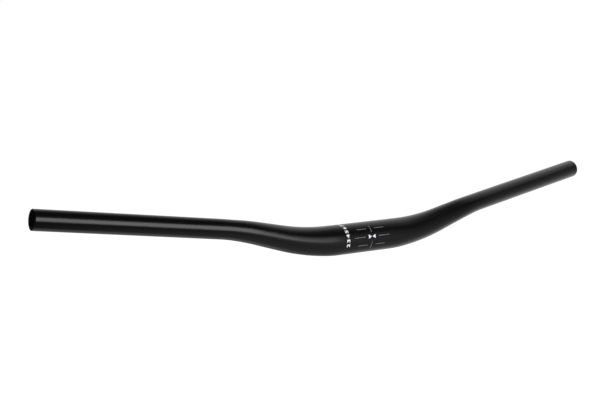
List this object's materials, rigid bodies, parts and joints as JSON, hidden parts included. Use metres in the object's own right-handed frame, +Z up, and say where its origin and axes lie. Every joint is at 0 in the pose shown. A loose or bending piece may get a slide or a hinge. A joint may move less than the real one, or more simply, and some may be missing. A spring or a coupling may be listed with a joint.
{
  "type": "bicycle handlebar",
  "caption": "Riser handlebar for a mountain bike: a tapered, bent tube with backsweep, upsweep and open ends, clamped at its thicker middle.",
  "frame": {"origin": "centre of the stem clamp section, on the axis of the tube", "axes": "+X along the clamp axis towards the rider's left, +Y back towards the rider, +Z up, as the bar is mounted"},
  "size_m": [0.804, 0.0682, 0.0762],
  "materials": {
    "bar": "satin"
  },
  "bodies": {
    "root": {"handlebar": "bar"}
  },
  "joints": []
}
